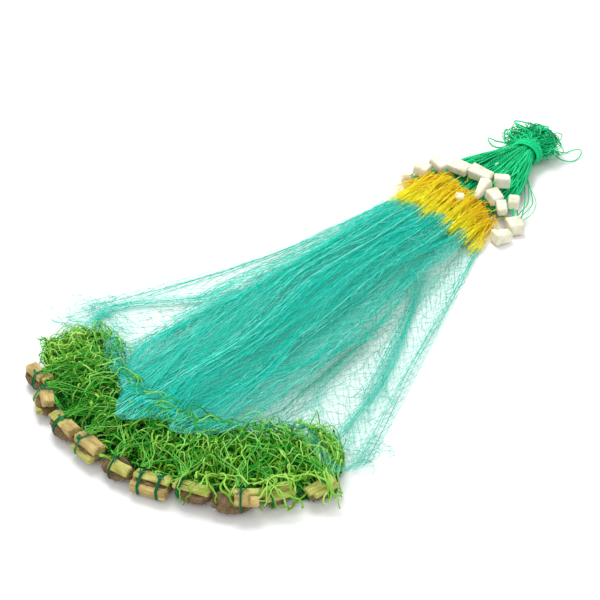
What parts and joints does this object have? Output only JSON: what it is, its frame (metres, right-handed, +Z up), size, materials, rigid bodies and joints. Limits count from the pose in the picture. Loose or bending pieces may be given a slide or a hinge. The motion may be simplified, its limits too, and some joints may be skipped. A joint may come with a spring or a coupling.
{
  "type": "fishing net",
  "caption": "Gathered fishing net lying folded lengthwise, with foam head floats, a tied rope hank, a thread fringe and an arc of clay and reed sinkers.",
  "frame": {"origin": "centre of the net's footprint, on the surface that it lies on", "axes": "+Y along the net from the sinkers to the rope hank, +X across it, +Z up"},
  "size_m": [0.413, 0.8367, 0.0396],
  "materials": {
    "teal_netting": "fine teal monofilament netting, semi-sheer, glinting",
    "yellow_selvage": "yellow thread netting drawn into knotted golden tufts",
    "green_fringe": "curly bright green thread ends with lime flat strips",
    "foot_line_twine": "dark green laid twine",
    "green_rope": "emerald green synthetic cord, slight sheen",
    "ivory_foam": "ivory closed-cell foam, cut faces",
    "brown_clay": "rough hand-shaped brown clay",
    "split_reed": "yellow-green split reed, smooth rind with fibres",
    "split_wood": "pale split wood, rough grain",
    "sinker_twine": "dark green lashing twine"
  },
  "bodies": {
    "root": {"float_01": "ivory_foam", "float_02": "ivory_foam", "float_03": "ivory_foam", "float_04": "ivory_foam", "float_05": "ivory_foam", "float_06": "ivory_foam", "float_07": "ivory_foam", "float_08": "ivory_foam", "float_09": "ivory_foam", "float_10": "ivory_foam", "float_11": "ivory_foam", "float_12": "ivory_foam", "float_13": "ivory_foam", "foot_fringe": "green_fringe", "foot_line": "foot_line_twine", "head_selvage": "yellow_selvage", "net_body": "teal_netting", "rope_bights": "green_rope", "rope_fan": "green_rope", "rope_loop_left": "green_rope", "rope_loop_right": "green_rope", "rope_loop_top": "green_rope", "rope_wrap": "green_rope", "sinker_01_lashing": "sinker_twine", "sinker_01_lump": "brown_clay", "sinker_01_wood": "split_wood", "sinker_02_lashing": "sinker_twine", "sinker_02_lump": "brown_clay", "sinker_02_wood": "split_wood", "sinker_03_lashing": "sinker_twine", "sinker_03_lump": "brown_clay", "sinker_03_reed": "split_reed", "sinker_04_lashing": "sinker_twine", "sinker_04_lump": "brown_clay", "sinker_04_wood": "split_wood", "sinker_05_lashing": "sinker_twine", "sinker_05_lump": "brown_clay", "sinker_05_reed": "split_reed", "sinker_06_lashing": "sinker_twine", "sinker_06_lump": "brown_clay", "sinker_06_reed": "split_reed", "sinker_07_lashing": "sinker_twine", "sinker_07_lump": "brown_clay", "sinker_07_reed": "split_reed", "sinker_08_lashing": "sinker_twine", "sinker_08_lump": "brown_clay", "sinker_08_wood": "split_wood", "sinker_09_lashing": "sinker_twine", "sinker_09_lump": "brown_clay", "sinker_09_reed": "split_reed", "sinker_10_lashing": "sinker_twine", "sinker_10_lump": "brown_clay", "sinker_10_reed": "split_reed"}
  },
  "joints": []
}
